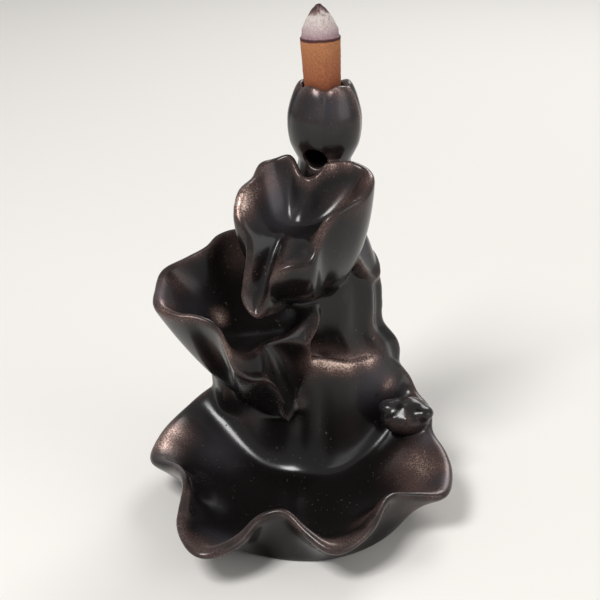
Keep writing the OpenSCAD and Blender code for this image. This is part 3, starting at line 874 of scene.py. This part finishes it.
def bud_rim():
    """A circle along the middle of the cup's wall, just under the petal tips."""
    a = 2 * np.pi * np.arange(BUD_RIM_POINTS) / BUD_RIM_POINTS
    return np.stack([BUD_AT[0] + BUD_RIM_R * np.cos(a), BUD_AT[1] + BUD_RIM_R * np.sin(a),
                     BUD_TOP - BUD_RIM_DROP + 0 * a], axis=1)


def rim_nearness(points, rims):
    """1 on a rim, falling to 0 at the reach: 1 - distance / reach, eased at both ends."""
    nearest = np.empty(len(points))
    for block in np.array_split(np.arange(len(points)), RIM_BLOCKS):
        gap = points[block, None, :] - rims[None, :, :]
        nearest[block] = np.sqrt((gap**2).sum(axis=-1).min(axis=1))
    share = np.clip(1 - nearest / RIM_REACH, 0, 1)
    return share * share * (3 - 2 * share)


def bulge(mesh):
    """Positive on ridges, negative in creases: how much the normals spread along the edges."""
    points, pairs = read_points(mesh), edge_pairs(mesh)
    count = len(points)
    normals = np.empty(count * 3)
    mesh.vertex_normals.foreach_get("vector", normals)
    normals = normals.reshape(-1, 3)
    step = points[pairs[:, 1]] - points[pairs[:, 0]]
    length_squared = np.maximum((step**2).sum(axis=1), 1e-12)
    spread = ((normals[pairs[:, 1]] - normals[pairs[:, 0]]) * step).sum(axis=1) / length_squared * MM
    total = np.bincount(pairs[:, 0], spread, count) + np.bincount(pairs[:, 1], spread, count)
    values = total / np.maximum(1, np.bincount(pairs.ravel(), minlength=count))
    for _ in range(BEND_PASSES):
        values = neighbour_mean(values, pairs, count)
    return values


leaf_rims = [edge[::RIM_STEP, :3] for edge in (basin_edge, middle_edge, top_edge, hood_edge)]
add_attribute(casting.data, "rim", rim_nearness(casting_points, np.vstack([*leaf_rims, bud_rim()])))
casting_bulge = bulge(casting.data)
add_attribute(casting.data, "bulge", np.clip(casting_bulge * BEND_SCALE, -1, 1))
print("bulge, 5th to 95th percentile per mm:", np.round(np.percentile(casting_bulge, [5, 50, 95]), 3))

# %% [markdown]
# ## The glaze
# A stoneware glaze with metal oxides in it, dipped and fired: glossy, nearly black where it is thick,
# and rose bronze with fine speckle where it is thin. Two shaders and a mask would do, but one surface
# that turns metallic, rougher and paler as more bronze and painted highlight show has no border to
# hide. The real speckle is finer than the picture can show, so it is drawn at half a millimetre. The
# patches are as large as the runs of the glaze, the sparks are single flecks of metal, and the fine
# pits come from bubbles.

# %% Glaze patterns
PATCH_MM = 11
SPECKLE_MM = 0.5
SPARK_MM = 0.9
PEEL_MM = 5
PIT_MM = 6
PIT_SPAN = (0.03, 0.06)
PATCH_SPAN = (0.42, 0.66)
RIM_BRONZE, RIDGE_BRONZE, RIDGE_FROM = 0.16, 0.14, 0.2
# The painted mauve reflection tints the colour by at most this share.
MAUVE_REFLECTION_MOST = 0.5
# Each: size in millimetres, detail, the noise's span, and the span of strength that it becomes.
GLAZE_NOISES = {
    "edge_patch": (PATCH_MM, 2, PATCH_SPAN, (0.1, 1)),
    "sheen_patch": (PATCH_MM, 2, PATCH_SPAN, (0.7, 1)),
    "spark_patch": (PATCH_MM, 2, PATCH_SPAN, (0, 1)),
    "grain": (SPECKLE_MM, 2, PATCH_SPAN, (0.6, 1.3)),
    "spark": (SPARK_MM, 0, (0.76, 0.82), (0, 0.3)),
}
# The bronze places, and so the thin, grained and metal sums, carry painted highlights besides the real
# bronze; the mauve and cool sums carry a painted cool reflection.
# Each: what it makes, the operation, and what goes in.
GLAZE_STEPS = [
    ("raised", "MULTIPLY_ADD", ["rim", RIM_BRONZE, "ridge"]),
    ("raised_patches", "MULTIPLY", ["raised", "edge_patch"]),
    ("thin", "MULTIPLY_ADD", ["bronze_and_highlight", "sheen_patch", "raised_patches"]),
    ("grained", "MULTIPLY", ["thin", "grain"]),
    ("metal_and_highlight", "MULTIPLY_ADD", ["spark", "spark_patch", "grained"]),
    ("cool_reflection", "MULTIPLY", ["mauve_reflection", MAUVE_REFLECTION_MOST]),
    ("sheen", "ADD", ["metal_and_highlight", "cool_reflection"]),
]
print("glaze patterns:", list(GLAZE_NOISES))

# %% [markdown]
# ## From the patterns to a surface
# To the eye, the thick glaze is dark glass that mirrors the studio sharply, and the thin places shine
# softly in a colour of their own; the pale end of that colour is a painted highlight, and the mauve a
# painted cool reflection. Colour, metal and roughness could each get a pattern, but on the real glaze
# they change together, so all of them read the same sums. The index of refraction, 1.42, is a little
# lower than that of window glass, because the mirrored floor would look too bright.

# %% Glaze material
GLAZE_DARK, GLAZE_MIDDLE, GLAZE_PALE_HIGHLIGHT, GLAZE_REFLECTION_MAUVE = "#110e0e", "#66524d", "#dcc1b4", "#77727a"
GLAZE_MIDDLE_AT = 0.4
GLAZE_IOR = 1.42
SHEEN_FULL = 0.6
METALLIC_SPAN, ROUGHNESS_SPAN = (0.0, 0.85), (0.2, 0.42)
PEEL_SHARE, RELIEF_STRENGTH, RELIEF_MM = 0.3, 0.2, 0.25


def glaze_sheen(tree, place):
    """Adds the glaze's noises and sums up how much metal with painted highlights, and how much painted mauve
    reflection, shows.
    """
    parts = {}
    for name in ("rim", "bulge", "bronze_and_highlight", "mauve_reflection"):
        parts[name] = add_node(tree, "ShaderNodeAttribute", attribute_name=name).outputs["Fac"]
    for name, (size_mm, detail, noise_span, strength_span) in GLAZE_NOISES.items():
        noise = add_node(tree, "ShaderNodeTexNoise", {"Scale": 1 / (size_mm * MM), "Detail": detail},
                         {"Vector": place})
        parts[name] = add_node(tree, "ShaderNodeMapRange", {
            "From Min": noise_span[0], "From Max": noise_span[1],
            "To Min": strength_span[0], "To Max": strength_span[1]}, {"Value": noise})
    parts["ridge"] = add_node(tree, "ShaderNodeMapRange", {"From Min": RIDGE_FROM, "To Max": RIDGE_BRONZE},
                              {"Value": parts["bulge"]})
    for name, operation, inputs in GLAZE_STEPS:
        values = {k: value for k, value in enumerate(inputs) if not isinstance(value, str)}
        links = {k: parts[value] for k, value in enumerate(inputs) if isinstance(value, str)}
        parts[name] = add_node(tree, "ShaderNodeMath", values, links, operation=operation, use_clamp=True)
    return parts


def glaze_relief(tree, place):
    """Soft waves of the glaze's skin, and pits where a cell's middle is near."""
    peel = add_node(tree, "ShaderNodeTexNoise", {"Scale": 1 / (PEEL_MM * MM), "Detail": 1}, {"Vector": place})
    cells = add_node(tree, "ShaderNodeTexVoronoi", {"Scale": 1 / (PIT_MM * MM)}, {"Vector": place})
    pits = add_node(tree, "ShaderNodeMapRange", {"From Min": PIT_SPAN[0], "From Max": PIT_SPAN[1]},
                    {"Value": cells.outputs["Distance"]})
    height = add_node(tree, "ShaderNodeMath", {1: PEEL_SHARE}, {0: peel, 2: pits}, operation="MULTIPLY_ADD")
    return add_node(tree, "ShaderNodeBump", {"Strength": RELIEF_STRENGTH, "Distance": RELIEF_MM * MM},
                    {"Height": height})


def glaze_material():
    """Near-black glossy glaze, with a bronze sheen in patches where it is thin, painted highlights at the
    glints, and a painted mauve reflection.
    """
    material, tree = new_material("dark_bronze_glaze")
    place = add_node(tree, "ShaderNodeTexCoord").outputs["Object"]
    parts = glaze_sheen(tree, place)
    # The ramp's pale end, reached at the glint places, is a painted highlight.
    colour = add_node(tree, "ShaderNodeValToRGB", links={"Fac": parts["metal_and_highlight"]})
    ramp = colour.color_ramp
    ramp.elements[0].color = linear(GLAZE_DARK)
    ramp.elements[1].color = linear(GLAZE_PALE_HIGHLIGHT)
    ramp.elements.new(GLAZE_MIDDLE_AT).color = linear(GLAZE_MIDDLE)
    # The mauve mixed in here is a painted cool reflection.
    tinted = add_node(tree, "ShaderNodeMix", {7: linear(GLAZE_REFLECTION_MAUVE)}, {0: parts["cool_reflection"], 6: colour},
                      data_type="RGBA")
    metallic, roughness = (
        add_node(tree, "ShaderNodeMapRange", {"From Max": SHEEN_FULL, "To Min": low, "To Max": high},
                 {"Value": parts["sheen"]})
        for low, high in (METALLIC_SPAN, ROUGHNESS_SPAN))
    shader = add_node(tree, "ShaderNodeBsdfPrincipled", {"IOR": GLAZE_IOR}, {
        "Base Color": tinted.outputs[2], "Metallic": metallic, "Roughness": roughness,
        "Normal": glaze_relief(tree, place)})
    add_node(tree, "ShaderNodeOutputMaterial", links={"Surface": shader})
    print("glaze nodes:", len(tree.nodes))
    return material


casting.data.materials.clear()
casting.data.materials.append(glaze_material())
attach(casting, "root")
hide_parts("burner_body")

# %% [markdown]
# ## The incense cone
# A backflow cone is pressed from wood and charcoal powder, with a blind hole up from its foot. This
# one has burnt down by a third: above a thin dark char line stands a cap of pale lumpy ash with a
# dark tip. A cone primitive has hard edges and no hole, so it is a lathe shape instead, a profile
# turned about its own leaning axis, with small lumps that grow towards the ash.

# %% Cone mesh
CONE_HOLE_D, CONE_HOLE_DEPTH = 3.6, 15
ASH_STEP = 0.5
ASH_LUMP, SIDE_LUMP = 0.26, 0.03
LUMP_WAVES, LUMP_TURNS = 24, 9
COARSE_LUMP_MM, COARSE_SEED = 5, 3
FINE_LUMP_MM, FINE_SEED, FINE_SHARE = 2, 4, 0.5
CONE_SIDES = 200
CONE_ROWS = 60
HOLE_ROWS = 12


def lumps(a, z, size, seed):
    """Soft lumps on a turned shape: a sum of waves in angle and height with chosen random phases."""
    draw = np.random.default_rng(seed)
    total = np.zeros(np.broadcast(a, z).shape)
    for _ in range(LUMP_WAVES):
        turns = draw.integers(-LUMP_TURNS, LUMP_TURNS + 1)
        waves = draw.uniform(-1, 1) * 2 * np.pi / size
        total += np.sin(turns * a + waves * z + draw.uniform(0, 2 * np.pi))
    return total / np.sqrt(LUMP_WAVES / 2)


def cone_profile():
    """[radius, height, lump] rows from the tip down the outside, then up the blind hole. Up the ash by
    the share t, the radius is 0.88 (1 - t^1.6)^0.9 + 0.12 sqrt(1 - t^6) of the ash's foot. The short
    rows between are the step at the char line, and the foot's round edge with the mouth of the hole."""
    ash_r = CONE_D / 2 - ASH_STEP
    ash_z = CONE_CHAR + ASH_STEP
    t = np.linspace(0.995, 0, CONE_ROWS)
    taper = 0.88 * (1 - t**1.6) ** 0.9 + 0.12 * np.sqrt(1 - t**6)
    ash = np.stack([ash_r * taper, ash_z + (CONE_H - ash_z) * t, ASH_LUMP * np.minimum(1, 1.3 * t)], 1)
    step = np.array([[CONE_D / 2 - 0.25, CONE_CHAR + 0.2, 0.03], [CONE_D / 2 - 0.05, CONE_CHAR + 0.02, 0.02]])
    down = np.linspace(CONE_CHAR - 0.15, 0.25, CONE_ROWS)
    side_r = CONE_FOOT_D / 2 + (CONE_D - CONE_FOOT_D) / 2 * down / CONE_CHAR
    side = np.stack([side_r, down, SIDE_LUMP + 0 * down], 1)
    foot = np.array([[CONE_FOOT_D / 2 - 0.15, 0.04, 0.01], [CONE_FOOT_D / 2 - 0.5, 0, 0],
                     [CONE_HOLE_D / 2 + 0.1, 0, 0], [CONE_HOLE_D / 2, 0.1, 0]])
    up = np.linspace(1, CONE_HOLE_DEPTH, HOLE_ROWS)
    hole = np.stack([CONE_HOLE_D / 2 + 0 * up, up, 0 * up], 1)
    return np.vstack([ash, step, side, foot, hole])


def incense_cone():
    """The profile turned about the cone's axis, roughened, leant to the left and seated."""
    rows = cone_profile()
    a = 2 * np.pi * np.arange(CONE_SIDES) / CONE_SIDES
    r, z, lump = (rows[:, i][:, None] for i in range(3))
    coarse = lumps(a, z, COARSE_LUMP_MM, COARSE_SEED)
    fine = lumps(2 * a, z, FINE_LUMP_MM, FINE_SEED)
    rough = r + lump * (coarse + FINE_SHARE * fine)
    rings = np.stack([rough * np.cos(a), rough * np.sin(a), z + 0 * a], axis=-1)
    lean = turn_y(-SEAT_LEAN)
    at = SEAT_AT + CENTRING
    tip = lean @ [0, 0, CONE_H] + at
    cone = skin("pressed_cone", tip, rings @ lean.T + at, lean @ [0, 0, CONE_HOLE_DEPTH] + at)
    heights = np.concatenate([[CONE_H], np.repeat(rows[:, 1], CONE_SIDES), [CONE_HOLE_DEPTH]])
    add_attribute(cone.data, "height", heights)
    cone.data.shade_smooth()
    return cone


cone = incense_cone()
print("cone faces:", len(cone.data.polygons))

# %% [markdown]
# ## Pressed powder, char and ash
# The three zones are one piece, so one material reads the height along the cone and changes there.
# Three materials would meet at a ruled line. Noise shifts the height a little, least at the char line
# and most at the tip, and a grain of half a millimetre stands for the pressed powder, which is finer.

# %% Cone material
POWDER_GRAIN_MM, POWDER_GRAIN_DETAIL = 0.5, 3
ASH_FLAKE_MM, ASH_FLAKE_DETAIL = 2.2, 4
RAGGED_FROM, RAGGED_SPAN = CONE_CHAR + 2, (0.6, 9.0)
GRAIN_SPAN, TONE_SPAN = (0.3, 0.7), (0.72, 1.12)
GRAIN_STRENGTH, GRAIN_RELIEF_MM = 0.6, 0.2
CONE_ROUGHNESS, CONE_SPECULAR = 0.85, 0.3
# Each: a height along the cone in millimetres, and the colour there.
CONE_COLOURS = [
    (0, "#824a30"), (8, "#935538"), (CONE_CHAR - 0.8, "#b27750"), (CONE_CHAR - 0.5, "#4a2a28"),
    (CONE_CHAR + 0.1, "#4a2a28"), (CONE_CHAR + 0.4, "#9c8086"), (CONE_CHAR + 4, "#c4b4b1"),
    (CONE_H - 3.4, "#cfc4bf"), (CONE_H - 2.2, "#8a7370"), (CONE_H - 0.8, "#4c3a38"),
]


def cone_colour(tree, height, flakes):
    """The colour by height, where flakes of noise shift the height up or down."""
    ragged = add_node(tree, "ShaderNodeMapRange", {
        "From Min": RAGGED_FROM, "From Max": CONE_H,
        "To Min": RAGGED_SPAN[0], "To Max": RAGGED_SPAN[1]}, {"Value": height})
    centred_flakes = add_node(tree, "ShaderNodeMath", {1: 0.5}, {0: flakes}, operation="SUBTRACT")
    level = add_node(tree, "ShaderNodeMath", links={0: centred_flakes, 1: ragged, 2: height},
                     operation="MULTIPLY_ADD")
    share = add_node(tree, "ShaderNodeMapRange", {"From Max": CONE_H}, {"Value": level})
    zones = add_node(tree, "ShaderNodeValToRGB", links={"Fac": share})
    elements = zones.color_ramp.elements
    elements.remove(elements[1])
    elements[0].color = linear(CONE_COLOURS[0][1])
    for z, colour in CONE_COLOURS[1:]:
        elements.new(z / CONE_H).color = linear(colour)
    return zones


def cone_material():
    """Tan pressed powder, a dark char line, and grey ash with darker flakes and a dark tip."""
    material, tree = new_material("pressed_incense")
    place = add_node(tree, "ShaderNodeTexCoord").outputs["Object"]
    height = add_node(tree, "ShaderNodeAttribute", attribute_name="height").outputs["Fac"]
    flakes, grain = (
        add_node(tree, "ShaderNodeTexNoise", {"Scale": 1 / (size_mm * MM), "Detail": detail},
                 {"Vector": place})
        for size_mm, detail in ((ASH_FLAKE_MM, ASH_FLAKE_DETAIL), (POWDER_GRAIN_MM, POWDER_GRAIN_DETAIL)))
    tone = add_node(tree, "ShaderNodeMapRange", {
        "From Min": GRAIN_SPAN[0], "From Max": GRAIN_SPAN[1],
        "To Min": TONE_SPAN[0], "To Max": TONE_SPAN[1]}, {"Value": grain})
    zones = cone_colour(tree, height, flakes)
    colour = add_node(tree, "ShaderNodeVectorMath", links={0: zones, "Scale": tone}, operation="SCALE")
    bump = add_node(tree, "ShaderNodeBump", {"Strength": GRAIN_STRENGTH, "Distance": GRAIN_RELIEF_MM * MM},
                    {"Height": grain})
    shader = add_node(tree, "ShaderNodeBsdfPrincipled",
                      {"Roughness": CONE_ROUGHNESS, "Specular IOR Level": CONE_SPECULAR},
                      {"Base Color": colour, "Normal": bump})
    add_node(tree, "ShaderNodeOutputMaterial", links={"Surface": shader})
    print("cone nodes:", len(tree.nodes))
    return material


cone.data.materials.append(cone_material())
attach(cone, "root")
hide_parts("incense_cone")
